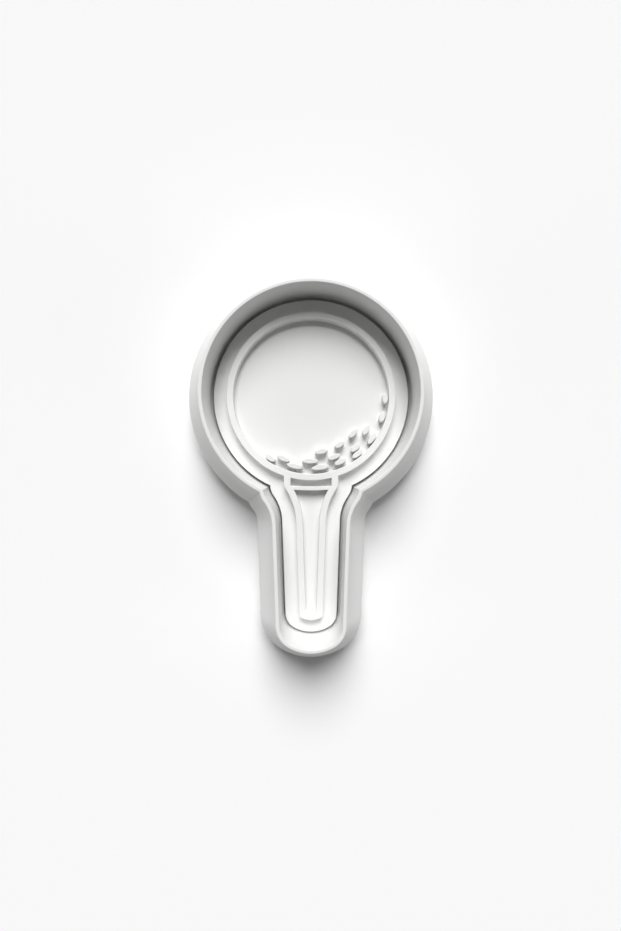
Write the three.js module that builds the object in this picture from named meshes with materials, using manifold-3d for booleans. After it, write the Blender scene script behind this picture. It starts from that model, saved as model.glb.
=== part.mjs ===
// Two-piece cookie cutter and stamp: a golf ball standing on its tee.
// The cutter is an open ring that follows the picture's outline. The stamp is a loose plate that slides
// inside it and carries the picture as raised ridges, which press their lines into the dough.
// Millimetres, +Z up, both pieces lying on the table with the blade and the relief facing up.
// The origin is on the table, under the middle of the cutter. The ball is towards +Y, the tee towards -Y.

import * as THREE from "three";
import { mergeVertices } from "three/addons/utils/BufferGeometryUtils.js";
import Module from "manifold-3d";

const wasm = await Module();
wasm.setup();

// Picture in relief
const BALL_RADIUS = 19.5; // outside of the ball's ridge
const TEE_REACH = 51.75; // ball's centre to the foot of the tee
const RIDGE_WIDTH = 1.5;
const RELIEF_HEIGHT = 2.2;
const CORNER_RADIUS = 0.4; // outer corners of the ridges

// Tee, measured over the outside of its ridge
const COLLAR_WIDTH = 12.5;
const NECK_LENGTH = 7.7; // collar's lower corners to the waist, where the straight shank begins
const WAIST_WIDTH = 6.9;
const TIP_WIDTH = 5.35;
const TIP_BULGE = 0.6; // rise of the rounded foot over its corners

// Cross bar that closes the collar
const SLOT_HEIGHT = 1.25; // space between the ball's ridge and the bar's ends
const BAR_WIDTH = 0.92;
const BAR_SAG = 0.15;

// Dimples, in rows at a distance inside the ball's edge. Each one is given by its place, in degrees round the
// ball from straight down, and its length.
const DIMPLE_WIDTH = 1.2;
const DIMPLE_ROWS = [
  { inset: 2.35, dimples: [[-33.5, 2.7], [39, 2.9], [55.4, 3.1], [73.6, 2.4], [88.3, 2.4]] },
  { inset: 2.9, dimples: [[-13.2, 3.7], [7.4, 4], [24.2, 2.9]] },
  { inset: 3.75, dimples: [[-24, 3.05], [40.7, 2.6]] },
  { inset: 4.5, dimples: [[-1, 3.6], [20.8, 2.9], [58.4, 2.5]] },
  { inset: 6.5, dimples: [[10.6, 3], [30.6, 2.5], [48.6, 2.5]] },
];

// Stamp plate
const PLATE_THICKNESS = 5;
const PLATE_MARGIN = 3.35; // plate showing outside the relief

// Cutter
const SLIDE_CLEARANCE = 0.35; // between the stamp and the guide, the inner wall's upright foot
const CUTTER_HEIGHT = 15;
const BLADE_WIDTH = 0.8; // flat on top of the cutting edge
const WALL_FLARE = 4.2; // the outer wall's spread from the blade to the base
const GUIDE_HEIGHT = 2.6;
const STEP_HEIGHT = 2; // slope from the guide out to the inner wall
const WALL_RELIEF = 0.45; // how far the inner wall stands back from the guide, so that the dough lets go
const BASE_BAND = 5.5; // upright edge of the base, where the fingers hold it
const FLARE_HOLLOW = 0.7; // how far the outer wall curves in from a straight slope

// Fineness of the curves
const BALL_UPPER_STEPS = 26;
const BALL_LOWER_STEPS = 18;
const SIDE_STEPS = 34;
const SIDE_EASE = 1.7; // gathers the side's points towards the neck
const TIP_STEPS = 6;
const HOLE_STEPS = 72;
const CURVE_STEPS = 16;
const DIMPLE_STEPS = 20;
const FLARE_STEPS = 4;
const POINTS_PER_MM = 6; // of the tee's core, from which its outlines are grown
const EMBED = 0.5; // overlap of joined solids, so that they fuse

const WHITE_PLASTIC = { color: 0xf2f2f1, roughness: 0.55, metalness: 0 };

// Places that follow from the sizes
const BALL_Y = (TEE_REACH - BALL_RADIUS) / 2;
const TIP_Y = BALL_Y - TEE_REACH;
const BAR_Y = BALL_Y - BALL_RADIUS - SLOT_HEIGHT;
const COLLAR_FOOT_Y = BAR_Y - BAR_WIDTH / 2;
const SLOT_HALF = COLLAR_WIDTH / 2 - RIDGE_WIDTH;

// The tee's core lies one corner radius inside its ridge, so that every outline grown from it is round.
const COLLAR_CORNER = new THREE.Vector2(COLLAR_WIDTH / 2 - CORNER_RADIUS, COLLAR_FOOT_Y + CORNER_RADIUS);
const WAIST = new THREE.Vector2(WAIST_WIDTH / 2 - CORNER_RADIUS, COLLAR_FOOT_Y - NECK_LENGTH);
const TIP_CORNER = new THREE.Vector2(TIP_WIDTH / 2 - CORNER_RADIUS, TIP_Y + CORNER_RADIUS + TIP_BULGE);
const SHANK_LEAN = Math.atan2(WAIST.x - TIP_CORNER.x, WAIST.y - TIP_CORNER.y);
const TIP_RADIUS = (TIP_CORNER.x ** 2 + TIP_BULGE ** 2) / (2 * TIP_BULGE);
const TIP_CENTRE_Y = TIP_Y + CORNER_RADIUS + TIP_RADIUS;
const TIP_ANGLE = Math.atan2(TIP_CORNER.y - TIP_CENTRE_Y, TIP_CORNER.x);

// Points down the right side of the tee's core, from inside the ball to the foot.
// The neck is the arc from the collar's corner that runs smoothly into the shank at the waist.
function coreSide() {
  const outwards = new THREE.Vector2(Math.cos(SHANK_LEAN), -Math.sin(SHANK_LEAN));
  const rise = COLLAR_CORNER.clone().sub(WAIST);
  const radius = rise.lengthSq() / (2 * rise.dot(outwards));
  const neck = WAIST.clone().addScaledVector(outwards, radius);
  const neckTop = Math.atan2(COLLAR_CORNER.y - neck.y, COLLAR_CORNER.x - neck.x);
  const curves = [
    new THREE.LineCurve(new THREE.Vector2(COLLAR_CORNER.x, BALL_Y), COLLAR_CORNER),
    new THREE.EllipseCurve(neck.x, neck.y, radius, radius, neckTop, Math.PI - SHANK_LEAN, false),
    new THREE.LineCurve(WAIST, TIP_CORNER),
    new THREE.EllipseCurve(0, TIP_CENTRE_Y, TIP_RADIUS, TIP_RADIUS, TIP_ANGLE, -Math.PI / 2, true),
  ];
  return curves.flatMap((curve) => curve.getSpacedPoints(Math.ceil(curve.getLength() * POINTS_PER_MM)));
}
const CORE_SIDE = coreSide();

// Half-width of the tee at height y, with its ridge's outer edge moved outwards by offset.
function teeHalfWidth(offset, y) {
  const growth = offset + CORNER_RADIUS;
  let width = growth > 0 ? -Infinity : Infinity;
  for (const point of CORE_SIDE) {
    const reach = growth ** 2 - (y - point.y) ** 2;
    if (reach < 0) continue;
    if (growth > 0) width = Math.max(width, point.x + Math.sqrt(reach));
    else width = Math.min(width, point.x - Math.sqrt(reach));
  }
  return width;
}

// Angle at which a circle on the centre line crosses the tee's side, between two angles.
function crossing(radius, centreY, offset, inside, outside) {
  const halvings = 40;
  for (let i = 0; i < halvings; i++) {
    const angle = (inside + outside) / 2;
    const beyond = radius * Math.cos(angle) > teeHalfWidth(offset, centreY + radius * Math.sin(angle));
    if (beyond) outside = angle;
    else inside = angle;
  }
  return (inside + outside) / 2;
}

function arcPoints(centreX, centreY, radius, from, to, steps) {
  const points = [];
  for (let i = 0; i <= steps; i++) {
    const angle = from + ((to - from) * i) / steps;
    points.push(new THREE.Vector2(centreX + radius * Math.cos(angle), centreY + radius * Math.sin(angle)));
  }
  return points;
}

// A right-hand run of points, top to bottom, closed by its mirror image. It runs anticlockwise.
function mirrored(right) {
  const onAxis = 1e-6;
  const left = right
    .filter((point) => point.x > onAxis)
    .map((point) => new THREE.Vector2(-point.x, point.y));
  return [...left, ...right.toReversed()];
}

// The outline of ball and tee together, moved outwards from the relief's outer edge by offset.
// Every outline has the same number of points, so that two of them can be joined by a wall.
function outline(offset) {
  const radius = BALL_RADIUS + offset;
  const growth = offset + CORNER_RADIUS;
  const notch = crossing(radius, BALL_Y, offset, -Math.PI / 2, 0);
  const right = arcPoints(0, BALL_Y, radius, Math.PI / 2, 0, BALL_UPPER_STEPS);
  right.push(...arcPoints(0, BALL_Y, radius, 0, notch, BALL_LOWER_STEPS).slice(1));
  const sideTop = right.at(-1).y;
  const sideFoot = TIP_CORNER.y - growth * Math.sin(SHANK_LEAN);
  for (let i = 1; i < SIDE_STEPS; i++) {
    const y = sideTop + (sideFoot - sideTop) * (i / SIDE_STEPS) ** SIDE_EASE;
    right.push(new THREE.Vector2(teeHalfWidth(offset, y), y));
  }
  right.push(...arcPoints(TIP_CORNER.x, TIP_CORNER.y, growth, -SHANK_LEAN, TIP_ANGLE, TIP_STEPS));
  right.push(...arcPoints(0, TIP_CENTRE_Y, TIP_RADIUS + growth, TIP_ANGLE, -Math.PI / 2, TIP_STEPS).slice(1));
  return mirrored(right);
}

function ballHole() {
  return new THREE.Path(arcPoints(0, BALL_Y, BALL_RADIUS - RIDGE_WIDTH, 0, 2 * Math.PI, HOLE_STEPS).slice(1));
}

// Hole between the ball's ridge and the cross bar.
function collarHole() {
  const end = Math.acos(SLOT_HALF / BALL_RADIUS);
  const hole = new THREE.Path();
  hole.moveTo(-SLOT_HALF, BAR_Y);
  hole.quadraticCurveTo(0, BAR_Y - 2 * BAR_SAG, SLOT_HALF, BAR_Y);
  hole.lineTo(SLOT_HALF, BALL_Y - BALL_RADIUS * Math.sin(end));
  hole.absarc(0, BALL_Y, BALL_RADIUS, -end, end - Math.PI, true);
  hole.closePath();
  return hole;
}

// Hole inside the tee, below the cross bar: the tee's outline moved in by the ridge.
function teeHole() {
  const top = BAR_Y - BAR_WIDTH;
  const footRadius = TIP_RADIUS + CORNER_RADIUS - RIDGE_WIDTH;
  const foot = crossing(footRadius, TIP_CENTRE_Y, -RIDGE_WIDTH, -Math.PI / 2, 0);
  const bottom = TIP_CENTRE_Y + footRadius * Math.sin(foot);
  const right = [new THREE.Vector2(0, top - BAR_SAG)];
  for (let i = 0; i < SIDE_STEPS; i++) {
    const y = top + (bottom - top) * (i / SIDE_STEPS) ** SIDE_EASE;
    right.push(new THREE.Vector2(teeHalfWidth(-RIDGE_WIDTH, y), y));
  }
  right.push(...arcPoints(0, TIP_CENTRE_Y, footRadius, foot, -Math.PI / 2, TIP_STEPS));
  return new THREE.Path(mirrored(right));
}

// One dimple of the ball: an ellipse lying along the ball's edge.
function dimpleShape(inset, degrees, length) {
  const angle = THREE.MathUtils.degToRad(degrees);
  const x = (BALL_RADIUS - inset) * Math.sin(angle);
  const y = BALL_Y - (BALL_RADIUS - inset) * Math.cos(angle);
  const oval = new THREE.EllipseCurve(x, y, length / 2, DIMPLE_WIDTH / 2, 0, 2 * Math.PI, false, angle);
  return new THREE.Shape(oval.getPoints(DIMPLE_STEPS).slice(1));
}

function dimpleShapes() {
  return DIMPLE_ROWS.flatMap(({ inset, dimples }) =>
    dimples.map(([degrees, length]) => dimpleShape(inset, degrees, length)),
  );
}

// Solid of a closed geometry, for joining.
function solid(geometry) {
  const bare = new THREE.BufferGeometry().setAttribute("position", geometry.getAttribute("position"));
  if (geometry.index) bare.setIndex(geometry.index);
  const merged = mergeVertices(bare, 1e-4);
  return new wasm.Manifold(
    new wasm.Mesh({
      numProp: 3,
      vertProperties: merged.attributes.position.array,
      triVerts: new Uint32Array(merged.index.array),
    }),
  );
}

function geometryOf(manifold) {
  const mesh = manifold.getMesh();
  return new THREE.BufferGeometry()
    .setAttribute("position", new THREE.BufferAttribute(mesh.vertProperties, 3))
    .setIndex(new THREE.BufferAttribute(mesh.triVerts, 1));
}

// A flat shape raised from one height to another.
function slab(shape, bottom, top) {
  const geometry = new THREE.ExtrudeGeometry(shape, {
    depth: top - bottom,
    bevelEnabled: false,
    curveSegments: CURVE_STEPS,
  });
  return solid(geometry.translate(0, 0, bottom));
}

// Stamp: the plate, with the ridges of ball and tee and the dimples standing on it as one moulding.
function stampGeometry() {
  const reliefTop = PLATE_THICKNESS + RELIEF_HEIGHT;
  const reliefFoot = PLATE_THICKNESS - EMBED;
  const ridges = new THREE.Shape(outline(0));
  ridges.holes.push(ballHole(), collarHole(), teeHole());
  let stamp = slab(new THREE.Shape(outline(PLATE_MARGIN)), 0, PLATE_THICKNESS);
  stamp = stamp.add(slab(ridges, reliefFoot, reliefTop));
  for (const dimple of dimpleShapes()) stamp = stamp.add(slab(dimple, reliefFoot, reliefTop));
  return geometryOf(stamp);
}

// Cutter wall's section as (offset from the relief, height): inside a close guide at the foot and a step out
// to an upright wall, outside a hollow flare.
function cutterSection() {
  const guide = PLATE_MARGIN + SLIDE_CLEARANCE;
  const blade = guide + WALL_RELIEF;
  const base = blade + BLADE_WIDTH + WALL_FLARE;
  const section = [new THREE.Vector2(guide, 0), new THREE.Vector2(base, 0)];
  for (let i = 0; i <= FLARE_STEPS; i++) {
    const t = i / FLARE_STEPS;
    const hollow = FLARE_HOLLOW * 4 * t * (1 - t);
    const height = THREE.MathUtils.lerp(BASE_BAND, CUTTER_HEIGHT, t);
    section.push(new THREE.Vector2(base - WALL_FLARE * t - hollow, height));
  }
  section.push(new THREE.Vector2(blade, CUTTER_HEIGHT));
  section.push(new THREE.Vector2(blade, GUIDE_HEIGHT + STEP_HEIGHT), new THREE.Vector2(guide, GUIDE_HEIGHT));
  return section;
}

// Cutter: the section carried round the picture's outline as one closed ring.
function cutterGeometry() {
  const section = cutterSection();
  const rings = section.map((corner) => outline(corner.x));
  const around = rings[0].length;
  const positions = rings.flatMap((ring, k) => ring.flatMap((point) => [point.x, point.y, section[k].y]));
  const triangles = [];
  for (let k = 0; k < rings.length; k++) {
    const next = (k + 1) % rings.length;
    for (let i = 0; i < around; i++) {
      const j = (i + 1) % around;
      const a = k * around + i;
      const b = k * around + j;
      const c = next * around + j;
      const d = next * around + i;
      triangles.push(a, b, c, a, c, d);
    }
  }
  return new THREE.BufferGeometry()
    .setAttribute("position", new THREE.Float32BufferAttribute(positions, 3))
    .setIndex(triangles);
}

function piece(name, geometry) {
  const mesh = new THREE.Mesh(geometry, new THREE.MeshStandardMaterial(WHITE_PLASTIC));
  mesh.name = name;
  return mesh;
}

const cookieStamp = new THREE.Group();
cookieStamp.add(piece("outer_cutter", cutterGeometry()), piece("inner_stamp", stampGeometry()));

export default cookieStamp;
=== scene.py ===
import math

import bmesh
import bpy
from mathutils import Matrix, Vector


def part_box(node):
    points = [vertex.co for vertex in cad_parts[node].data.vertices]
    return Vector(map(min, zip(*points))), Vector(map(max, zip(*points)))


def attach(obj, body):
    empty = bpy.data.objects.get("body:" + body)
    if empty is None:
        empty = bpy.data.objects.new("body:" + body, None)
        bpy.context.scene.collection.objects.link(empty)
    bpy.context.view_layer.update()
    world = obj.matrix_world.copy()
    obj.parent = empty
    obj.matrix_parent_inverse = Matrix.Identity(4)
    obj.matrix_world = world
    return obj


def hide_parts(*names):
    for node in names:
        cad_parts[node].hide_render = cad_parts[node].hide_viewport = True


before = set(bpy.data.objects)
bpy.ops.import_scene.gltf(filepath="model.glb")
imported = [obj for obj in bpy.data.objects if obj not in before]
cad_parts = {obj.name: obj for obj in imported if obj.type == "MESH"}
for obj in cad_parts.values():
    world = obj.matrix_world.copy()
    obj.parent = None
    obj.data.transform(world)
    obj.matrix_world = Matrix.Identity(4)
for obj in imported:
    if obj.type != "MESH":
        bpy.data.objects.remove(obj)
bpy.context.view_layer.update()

# Looks of a white plastic cookie cutter with its loose relief stamp: a golf ball standing on a tee.
# Both pieces are rebuilt as smooth shells with rounded edges, in the frame's places and sizes.
# Sizes are in millimetres and become metres when a mesh is made or the camera is placed.

MM = 0.001

cutter_low, cutter_high = (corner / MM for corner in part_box("outer_cutter"))
stamp_low, stamp_high = (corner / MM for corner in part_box("inner_stamp"))

# Stamp plate and relief
PLATE_MARGIN = 3.35
PLATE_THICKNESS = 5
RELIEF_TOP = stamp_high.z
RIDGE_WIDTH = 1.5
CORNER_RADIUS = 0.4
BALL_RADIUS = (stamp_high.x - stamp_low.x) / 2 - PLATE_MARGIN
BALL_Y = stamp_high.y - PLATE_MARGIN - BALL_RADIUS
TIP_Y = stamp_low.y + PLATE_MARGIN

# Tee
COLLAR_WIDTH = 12.5
NECK_LENGTH = 7.7
WAIST_WIDTH = 6.9
TIP_WIDTH = 5.35
TIP_BULGE = 0.6

# Cross bar that closes the collar
SLOT_HEIGHT = 1.25
BAR_WIDTH = 0.92
BAR_SAG = 0.15
BAR_Y = BALL_Y - BALL_RADIUS - SLOT_HEIGHT
COLLAR_FOOT_Y = BAR_Y - BAR_WIDTH / 2
SLOT_HALF = COLLAR_WIDTH / 2 - RIDGE_WIDTH

# Dimples, in rows at a distance inside the ball's edge. Each one is given by its place, in degrees round the
# ball from straight down, and its length.
DIMPLE_WIDTH = 1.2
DIMPLE_ROWS = [
    (2.35, [(-33.5, 2.7), (39, 2.9), (55.4, 3.1), (73.6, 2.4), (88.3, 2.4)]),
    (2.9, [(-13.2, 3.7), (7.4, 4), (24.2, 2.9)]),
    (3.75, [(-24, 3.05), (40.7, 2.6)]),
    (4.5, [(-1, 3.6), (20.8, 2.9), (58.4, 2.5)]),
    (6.5, [(10.6, 3), (30.6, 2.5), (48.6, 2.5)]),
]

# Cutter
SLIDE_CLEARANCE = 0.35
GUIDE_HEIGHT = 2.6
STEP_HEIGHT = 2
WALL_RELIEF = 0.45
BLADE_WIDTH = 0.8
BASE_BAND = 5.5
FLARE_HOLLOW = 0.7
CUTTER_HEIGHT = cutter_high.z
GUIDE_WALL = PLATE_MARGIN + SLIDE_CLEARANCE
BLADE_INSIDE = GUIDE_WALL + WALL_RELIEF
BLADE_EDGE = BLADE_INSIDE + BLADE_WIDTH
BASE_EDGE = (cutter_high.x - cutter_low.x) / 2 - BALL_RADIUS

# Edge roundings of the mouldings
BLADE_ROUND = 0.16
BASE_ROUND = 0.35
BAND_ROUND = 0.9
PLATE_ROUND = 0.25
RIDGE_ROUND = 0.14
FOOT_ROUND = 0.1
DIMPLE_FOOT_ROUND = 0.04

# Fineness of the curves
BALL_UPPER_STEPS = 58
BALL_LOWER_STEPS = 40
SIDE_STEPS = 84
SIDE_EASE = 1.7
TIP_STEPS = 14
HOLE_STEPS = 168
DIMPLE_STEPS = 40
SLOT_STEPS = 16
FLARE_STEPS = 10
ROUND_STEPS = 4
POINTS_PER_MM = 8
CREASE_ANGLE = math.radians(38)

# The tee's core lies one corner radius inside its ridge, so that every outline grown from it is round.
COLLAR_CORNER = Vector((COLLAR_WIDTH / 2 - CORNER_RADIUS, COLLAR_FOOT_Y + CORNER_RADIUS))
WAIST = Vector((WAIST_WIDTH / 2 - CORNER_RADIUS, COLLAR_FOOT_Y - NECK_LENGTH))
TIP_CORNER = Vector((TIP_WIDTH / 2 - CORNER_RADIUS, TIP_Y + CORNER_RADIUS + TIP_BULGE))
SHANK_LEAN = math.atan2(WAIST.x - TIP_CORNER.x, WAIST.y - TIP_CORNER.y)
TIP_RADIUS = (TIP_CORNER.x**2 + TIP_BULGE**2) / (2 * TIP_BULGE)
TIP_CENTRE_Y = TIP_Y + CORNER_RADIUS + TIP_RADIUS
TIP_ANGLE = math.atan2(TIP_CORNER.y - TIP_CENTRE_Y, TIP_CORNER.x)


def arc(centre, radius, start, end, steps):
    """Points of an arc, both ends included."""
    angles = (start + (end - start) * i / steps for i in range(steps + 1))
    return [Vector((centre[0] + radius * math.cos(a), centre[1] + radius * math.sin(a))) for a in angles]


def line(start, end, steps):
    """Evenly spaced points of a straight stretch, both ends included."""
    return [start.lerp(end, i / steps) for i in range(steps + 1)]


def core_side():
    """Points down the right side of the tee's core, from inside the ball to the foot.
    The neck is the arc from the collar's corner that runs smoothly into the shank at the waist."""
    outwards = Vector((math.cos(SHANK_LEAN), -math.sin(SHANK_LEAN)))
    rise = COLLAR_CORNER - WAIST
    radius = rise.length_squared / (2 * rise.dot(outwards))
    neck = WAIST + radius * outwards
    neck_top = math.atan2(COLLAR_CORNER.y - neck.y, COLLAR_CORNER.x - neck.x)
    collar_top = Vector((COLLAR_CORNER.x, BALL_Y))
    neck_length = radius * (math.pi - SHANK_LEAN - neck_top)
    tip_length = TIP_RADIUS * (TIP_ANGLE + math.pi / 2)
    stretches = [
        line(collar_top, COLLAR_CORNER, round((collar_top - COLLAR_CORNER).length * POINTS_PER_MM)),
        arc(neck, radius, neck_top, math.pi - SHANK_LEAN, round(neck_length * POINTS_PER_MM)),
        line(WAIST, TIP_CORNER, round((WAIST - TIP_CORNER).length * POINTS_PER_MM)),
        arc((0, TIP_CENTRE_Y), TIP_RADIUS, TIP_ANGLE, -math.pi / 2, round(tip_length * POINTS_PER_MM)),
    ]
    return [point for stretch in stretches for point in stretch]


CORE_SIDE = core_side()


def tee_half_width(offset, y):
    """Half-width of the tee at height y, with its ridge's outer edge moved outwards by offset."""
    growth = offset + CORNER_RADIUS
    near = [(p.x, growth**2 - (y - p.y) ** 2) for p in CORE_SIDE if abs(y - p.y) <= abs(growth)]
    if growth > 0:
        return max(x + math.sqrt(reach) for x, reach in near)
    return min(x - math.sqrt(reach) for x, reach in near)


def crossing(radius, centre_y, offset):
    """Angle at which a circle on the centre line crosses the tee's side, between straight down and level."""
    inside, outside = -math.pi / 2, 0
    halvings = 40
    for _ in range(halvings):
        angle = (inside + outside) / 2
        if radius * math.cos(angle) > tee_half_width(offset, centre_y + radius * math.sin(angle)):
            outside = angle
        else:
            inside = angle
    return (inside + outside) / 2


def mirrored(right):
    """A right-hand run of points, top to bottom, closed by its mirror image. It runs anticlockwise."""
    on_axis = 1e-6
    left = [Vector((-p.x, p.y)) for p in right if p.x > on_axis]
    return left + right[::-1]


def outline(offset):
    """The outline of ball and tee together, moved outwards from the relief's outer edge by offset."""
    radius = BALL_RADIUS + offset
    growth = offset + CORNER_RADIUS
    notch = crossing(radius, BALL_Y, offset)
    right = arc((0, BALL_Y), radius, math.pi / 2, 0, BALL_UPPER_STEPS)
    right += arc((0, BALL_Y), radius, 0, notch, BALL_LOWER_STEPS)[1:]
    side_top = right[-1].y
    side_foot = TIP_CORNER.y - growth * math.sin(SHANK_LEAN)
    for i in range(1, SIDE_STEPS):
        y = side_top + (side_foot - side_top) * (i / SIDE_STEPS) ** SIDE_EASE
        right.append(Vector((tee_half_width(offset, y), y)))
    right += arc(TIP_CORNER, growth, -SHANK_LEAN, TIP_ANGLE, TIP_STEPS)
    right += arc((0, TIP_CENTRE_Y), TIP_RADIUS + growth, TIP_ANGLE, -math.pi / 2, TIP_STEPS)[1:]
    return mirrored(right)


def ball_hole(inset):
    """The ball's inner edge, moved inwards by inset."""
    return arc((0, BALL_Y), BALL_RADIUS - RIDGE_WIDTH - inset, 0, 2 * math.pi, HOLE_STEPS)[1:]


def collar_hole(inset):
    """The space between the ball's ridge and the cross bar, moved inwards by inset."""
    half = SLOT_HALF - inset
    radius = BALL_RADIUS + inset
    end = math.acos(half / radius)
    top = arc((0, BALL_Y), radius, -end, end - math.pi, SLOT_STEPS)
    bottom = []
    for i in range(SLOT_STEPS + 1):
        x = -half + 2 * half * i / SLOT_STEPS
        sag = BAR_SAG * (1 - (x / SLOT_HALF) ** 2)
        bottom.append(Vector((x, BAR_Y + inset - sag)))
    right = line(bottom[-1], top[0], SLOT_STEPS // 4)
    left = line(top[-1], bottom[0], SLOT_STEPS // 4)
    return bottom + right[1:] + top[1:] + left[1:-1]


def tee_hole(inset):
    """The space inside the tee, below the cross bar, moved inwards by inset."""
    top = BAR_Y - BAR_WIDTH - inset
    offset = -RIDGE_WIDTH - inset
    foot_radius = TIP_RADIUS + CORNER_RADIUS + offset
    foot = crossing(foot_radius, TIP_CENTRE_Y, offset)
    bottom = TIP_CENTRE_Y + foot_radius * math.sin(foot)
    shoulder = tee_half_width(offset, top)
    right = []
    for i in range(SLOT_STEPS // 2):
        x = shoulder * 2 * i / SLOT_STEPS
        right.append(Vector((x, top - BAR_SAG * (1 - (x / shoulder) ** 2))))
    for i in range(SIDE_STEPS):
        y = top + (bottom - top) * (i / SIDE_STEPS) ** SIDE_EASE
        right.append(Vector((tee_half_width(offset, y), y)))
    right += arc((0, TIP_CENTRE_Y), foot_radius, foot, -math.pi / 2, TIP_STEPS)
    return mirrored(right)


def dimple(inset, degrees, length, growth):
    """A dimple's edge, moved outwards by growth: an ellipse lying along the ball's edge."""
    half_length = length / 2 + growth
    half_width = DIMPLE_WIDTH / 2 + growth
    outwards = Vector((math.sin(math.radians(degrees)), -math.cos(math.radians(degrees))))
    along = Vector((-outwards.y, outwards.x))
    centre = Vector((0, BALL_Y)) + (BALL_RADIUS - inset) * outwards
    angles = (2 * math.pi * i / DIMPLE_STEPS for i in range(DIMPLE_STEPS))
    return [centre + half_width * math.cos(a) * outwards + half_length * math.sin(a) * along for a in angles]


def rounded(corners, closed=False):
    """A section's points (across, height), from its corners (across, height, rounding)."""
    points = []
    last = len(corners) - 1
    for i, (across, height, rounding) in enumerate(corners):
        corner = Vector((across, height))
        if not rounding or (not closed and i in (0, last)):
            points.append(corner)
            continue
        before = Vector(corners[i - 1][:2])
        after = Vector(corners[(i + 1) % len(corners)][:2])
        start = corner + rounding * (before - corner).normalized()
        end = corner + rounding * (after - corner).normalized()
        for k in range(ROUND_STEPS + 1):
            t = k / ROUND_STEPS
            points.append(start.lerp(corner, t).lerp(corner.lerp(end, t), t))
    return points


def add_loop(bm, points, height):
    return [bm.verts.new((p.x * MM, p.y * MM, height * MM)) for p in points]


def add_wall(bm, edge, section, closed=False):
    """Walls between the loops edge(across) at each point of the section. Returns the first and last loop."""
    loops = [add_loop(bm, edge(point.x), point.y) for point in section]
    pairs = list(zip(loops, loops[1:]))
    if closed:
        pairs.append((loops[-1], loops[0]))
    for low, high in pairs:
        for i in range(len(low)):
            bm.faces.new((low[i - 1], low[i], high[i], high[i - 1]))
    return loops[0], loops[-1]


def fill_flat(bm, *loops):
    """A flat face inside the first loop, leaving out the others."""
    edges = [bm.edges.get((loop[i - 1], loop[i])) for loop in loops for i in range(len(loop))]
    bmesh.ops.triangle_fill(bm, use_beauty=True, edges=edges, normal=(0, 0, 1))


def finish_piece(bm, name, material):
    """The piece's object: closed, facing outwards, smooth over its rounded edges and flat on its flats."""
    bmesh.ops.recalc_face_normals(bm, faces=bm.faces)
    mesh = bpy.data.meshes.new(name)
    bm.to_mesh(mesh)
    bm.free()
    mesh.shade_smooth()
    mesh.set_sharp_from_angle(angle=CREASE_ANGLE)
    mesh.materials.append(material)
    piece = bpy.data.objects.new(name, mesh)
    bpy.context.scene.collection.objects.link(piece)
    normals = piece.modifiers.new("flat faces stay flat", "WEIGHTED_NORMAL")
    normals.keep_sharp = True
    return piece


def make_cutter(material):
    """The ring: a close guide at the foot, a stepped inner wall, a hollow flare outside and a thin blade."""
    flare = []
    for i in range(1, FLARE_STEPS):
        t = i / FLARE_STEPS
        across = BASE_EDGE + (BLADE_EDGE - BASE_EDGE) * t - FLARE_HOLLOW * 4 * t * (1 - t)
        flare.append((across, BASE_BAND + (CUTTER_HEIGHT - BASE_BAND) * t, 0))
    section = rounded(
        [
            (GUIDE_WALL, 0, BASE_ROUND),
            (BASE_EDGE, 0, BASE_ROUND),
            (BASE_EDGE, BASE_BAND, BAND_ROUND),
            *flare,
            (BLADE_EDGE, CUTTER_HEIGHT, BLADE_ROUND),
            (BLADE_INSIDE, CUTTER_HEIGHT, BLADE_ROUND),
            (BLADE_INSIDE, GUIDE_HEIGHT + STEP_HEIGHT, BASE_ROUND),
            (GUIDE_WALL, GUIDE_HEIGHT, BASE_ROUND),
        ],
        closed=True,
    )
    bm = bmesh.new()
    add_wall(bm, outline, section, closed=True)
    return finish_piece(bm, "cutter_ring", material)


def relief_section(foot_round):
    """Side of a raised line, from its top to the plate: a rounded edge above and a small fillet below."""
    return rounded(
        [
            (-2 * RIDGE_ROUND, RELIEF_TOP, 0),
            (0, RELIEF_TOP, RIDGE_ROUND),
            (0, PLATE_THICKNESS, foot_round),
            (2 * foot_round, PLATE_THICKNESS, 0),
        ]
    )


def make_stamp(material):
    """The plate with its ridges and dimples, one moulding with small fillets at the ridges' feet."""
    bm = bmesh.new()
    outside = rounded(
        [
            (PLATE_MARGIN - 2 * PLATE_ROUND, 0, 0),
            (PLATE_MARGIN, 0, PLATE_ROUND),
            (PLATE_MARGIN, PLATE_THICKNESS, PLATE_ROUND),
            (0, PLATE_THICKNESS, FOOT_ROUND),
            (0, RELIEF_TOP, RIDGE_ROUND),
            (-2 * RIDGE_ROUND, RELIEF_TOP, 0),
        ]
    )
    inside = relief_section(FOOT_ROUND)
    back, relief_edge = add_wall(bm, outline, outside)
    ball_top, ball_floor = add_wall(bm, ball_hole, inside)
    slot_top, slot_floor = add_wall(bm, collar_hole, inside)
    tee_top, tee_floor = add_wall(bm, tee_hole, inside)
    fill_flat(bm, back)
    fill_flat(bm, relief_edge, ball_top, slot_top, tee_top)
    fill_flat(bm, slot_floor)
    fill_flat(bm, tee_floor)
    pillar = relief_section(DIMPLE_FOOT_ROUND)
    feet = []
    for inset, dimples in DIMPLE_ROWS:
        for degrees, length in dimples:
            top, foot = add_wall(bm, lambda growth: dimple(inset, degrees, length, growth), pillar)
            fill_flat(bm, top)
            feet.append(foot)
    fill_flat(bm, ball_floor, *feet)
    return finish_piece(bm, "stamp_relief", material)


# Materials

WHITE = (0.835, 0.835, 0.83)
WHITE_SHADE = (0.82, 0.82, 0.813)
SHEEN_VARIATION = 0.05


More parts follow.
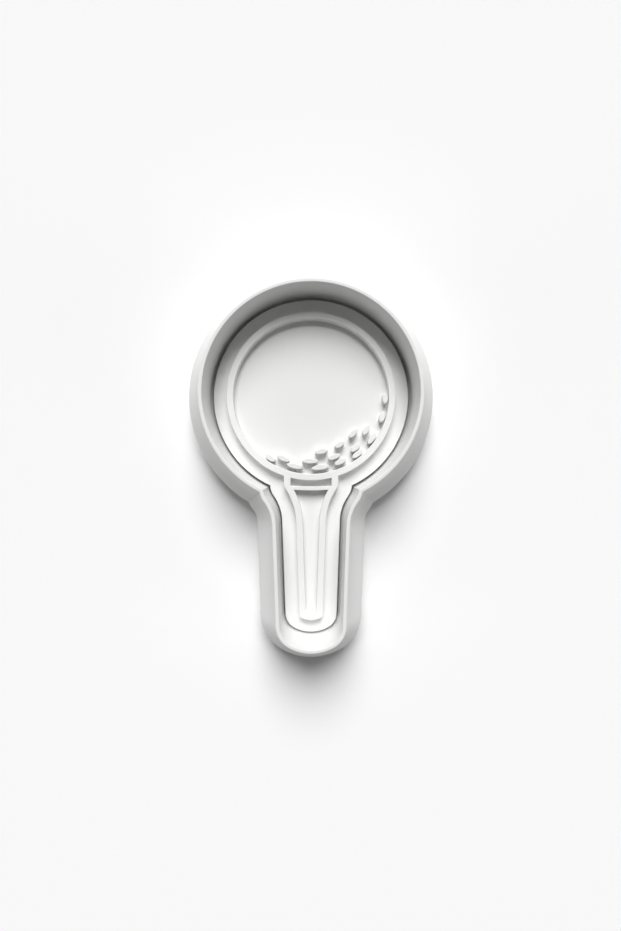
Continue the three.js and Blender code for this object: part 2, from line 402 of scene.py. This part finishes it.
def moulding_finish():
    """Fine matte grain of moulded plastic, and a faint mottle of its colour and sheen."""
    group = bpy.data.node_groups.new("moulding finish", "ShaderNodeTree")
    for name, kind in (("Grain Scale", "Float"), ("Mottle Scale", "Float"), ("Roughness", "Float")):
        group.interface.new_socket(name, in_out="INPUT", socket_type=f"NodeSocket{kind}")
    for name, kind in (("Color", "Color"), ("Roughness", "Float"), ("Grain", "Float")):
        group.interface.new_socket(name, in_out="OUTPUT", socket_type=f"NodeSocket{kind}")
    nodes, links = group.nodes, group.links
    inputs = nodes.new("NodeGroupInput")
    outputs = nodes.new("NodeGroupOutput")
    place = nodes.new("ShaderNodeTexCoord")

    grain = nodes.new("ShaderNodeTexNoise")
    grain.inputs["Detail"].default_value = 3
    grain.inputs["Roughness"].default_value = 0.6
    links.new(place.outputs["Object"], grain.inputs["Vector"])
    links.new(inputs.outputs["Grain Scale"], grain.inputs["Scale"])
    links.new(grain.outputs["Fac"], outputs.inputs["Grain"])

    mottle = nodes.new("ShaderNodeTexNoise")
    mottle.inputs["Detail"].default_value = 4
    links.new(place.outputs["Object"], mottle.inputs["Vector"])
    links.new(inputs.outputs["Mottle Scale"], mottle.inputs["Scale"])

    colour = nodes.new("ShaderNodeMix")
    colour.data_type = "RGBA"
    colour.inputs["A"].default_value = (*WHITE_SHADE, 1)
    colour.inputs["B"].default_value = (*WHITE, 1)
    links.new(mottle.outputs["Fac"], colour.inputs["Factor"])
    links.new(colour.outputs["Result"], outputs.inputs["Color"])

    spread = nodes.new("ShaderNodeMapRange")
    spread.inputs["To Min"].default_value = -SHEEN_VARIATION
    spread.inputs["To Max"].default_value = SHEEN_VARIATION
    links.new(mottle.outputs["Fac"], spread.inputs["Value"])
    sheen = nodes.new("ShaderNodeMath")
    sheen.operation = "ADD"
    links.new(inputs.outputs["Roughness"], sheen.inputs[0])
    links.new(spread.outputs["Result"], sheen.inputs[1])
    links.new(sheen.outputs["Value"], outputs.inputs["Roughness"])
    return group


FINISH = moulding_finish()


def white_plastic(name, grain_scale, mottle_scale, roughness, grain_depth):
    """White moulded plastic with its own scale of grain and mottle."""
    material = bpy.data.materials.new(name)
    material.use_nodes = True
    nodes, links = material.node_tree.nodes, material.node_tree.links
    shader = nodes["Principled BSDF"]
    shader.inputs["IOR"].default_value = 1.46
    shader.inputs["Specular IOR Level"].default_value = 0.35
    finish = nodes.new("ShaderNodeGroup")
    finish.node_tree = FINISH
    finish.inputs["Grain Scale"].default_value = grain_scale
    finish.inputs["Mottle Scale"].default_value = mottle_scale
    finish.inputs["Roughness"].default_value = roughness
    bump = nodes.new("ShaderNodeBump")
    bump.inputs["Strength"].default_value = 0.25
    bump.inputs["Distance"].default_value = grain_depth * MM
    links.new(finish.outputs["Color"], shader.inputs["Base Color"])
    links.new(finish.outputs["Roughness"], shader.inputs["Roughness"])
    links.new(finish.outputs["Grain"], bump.inputs["Height"])
    links.new(bump.outputs["Normal"], shader.inputs["Normal"])
    return material


def table_white():
    """Plain white paper."""
    material = bpy.data.materials.new("table_white")
    material.use_nodes = True
    shader = material.node_tree.nodes["Principled BSDF"]
    shader.inputs["Base Color"].default_value = (1, 1, 1, 1)
    shader.inputs["Roughness"].default_value = 1
    shader.inputs["Specular IOR Level"].default_value = 0
    return material


# Pieces

cutter = make_cutter(
    white_plastic("cutter_plastic", grain_scale=3200, mottle_scale=140, roughness=0.55, grain_depth=0.05)
)
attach(cutter, "cutter")
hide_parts("outer_cutter")

stamp = make_stamp(
    white_plastic("stamp_plastic", grain_scale=3600, mottle_scale=170, roughness=0.58, grain_depth=0.05)
)
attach(stamp, "stamp")
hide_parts("inner_stamp")

# Table, light and camera

FLOOR_HALF = 2000
CAMERA_PLACE = Vector((-0.12, 0.09, 126.5))
CAMERA_LENS = 20
CAMERA_NEAR = 10

floor_mesh = bpy.data.meshes.new("table_top")
floor_corners = [(-1, -1), (1, -1), (1, 1), (-1, 1)]
floor_points = [(x * FLOOR_HALF * MM, y * FLOOR_HALF * MM, 0) for x, y in floor_corners]
floor_mesh.from_pydata(floor_points, [], [(0, 1, 2, 3)])
floor_mesh.materials.append(table_white())
floor = bpy.data.objects.new("table_top", floor_mesh)
bpy.context.scene.collection.objects.link(floor)


def soft_lamp(name, azimuth, elevation, spread, light_level):
    """A wide, distant lamp that adds its light level to a white table. Azimuth 0 is beyond the ball, +Y."""
    light = bpy.data.lights.new(name, "SUN")
    light.angle = math.radians(spread)
    turn, rise = math.radians(azimuth), math.radians(elevation)
    light.energy = math.pi * light_level / math.sin(rise)
    lamp = bpy.data.objects.new(name, light)
    towards = Vector((math.sin(turn) * math.cos(rise), math.cos(turn) * math.cos(rise), math.sin(rise)))
    lamp.rotation_euler = towards.to_track_quat("Z", "Y").to_euler()
    bpy.context.scene.collection.objects.link(lamp)


soft_lamp("window", azimuth=0, elevation=45, spread=38, light_level=0.84)
soft_lamp("left side", azimuth=-112, elevation=15, spread=24, light_level=0.023)
soft_lamp("right side", azimuth=112, elevation=15, spread=24, light_level=0.023)


def white_surroundings(fill):
    """White where the camera looks past the table, and an even fill of light on the object."""
    world = bpy.data.worlds.new("studio")
    bpy.context.scene.world = world
    world.use_nodes = True
    nodes, links = world.node_tree.nodes, world.node_tree.links
    rays = nodes.new("ShaderNodeLightPath")
    seen = rays.outputs["Is Camera Ray"]
    for kind in ("Is Glossy Ray", "Is Transmission Ray"):
        either = nodes.new("ShaderNodeMath")
        either.operation = "MAXIMUM"
        links.new(seen, either.inputs[0])
        links.new(rays.outputs[kind], either.inputs[1])
        seen = either.outputs["Value"]
    strength = nodes.new("ShaderNodeMapRange")
    strength.inputs["To Min"].default_value = fill
    strength.inputs["To Max"].default_value = 1
    links.new(seen, strength.inputs["Value"])
    backdrop = nodes["Background"]
    backdrop.inputs["Color"].default_value = (1, 1, 1, 1)
    links.new(strength.outputs["Result"], backdrop.inputs["Strength"])


white_surroundings(fill=0.055)

# The camera looks straight down.
camera_data = bpy.data.cameras.new("camera")
camera_data.lens = CAMERA_LENS
camera_data.clip_start = CAMERA_NEAR * MM
camera = bpy.data.objects.new("camera", camera_data)
camera.location = CAMERA_PLACE * MM
bpy.context.scene.collection.objects.link(camera)
bpy.context.scene.camera = camera

bpy.context.scene.view_settings.view_transform = "Standard"
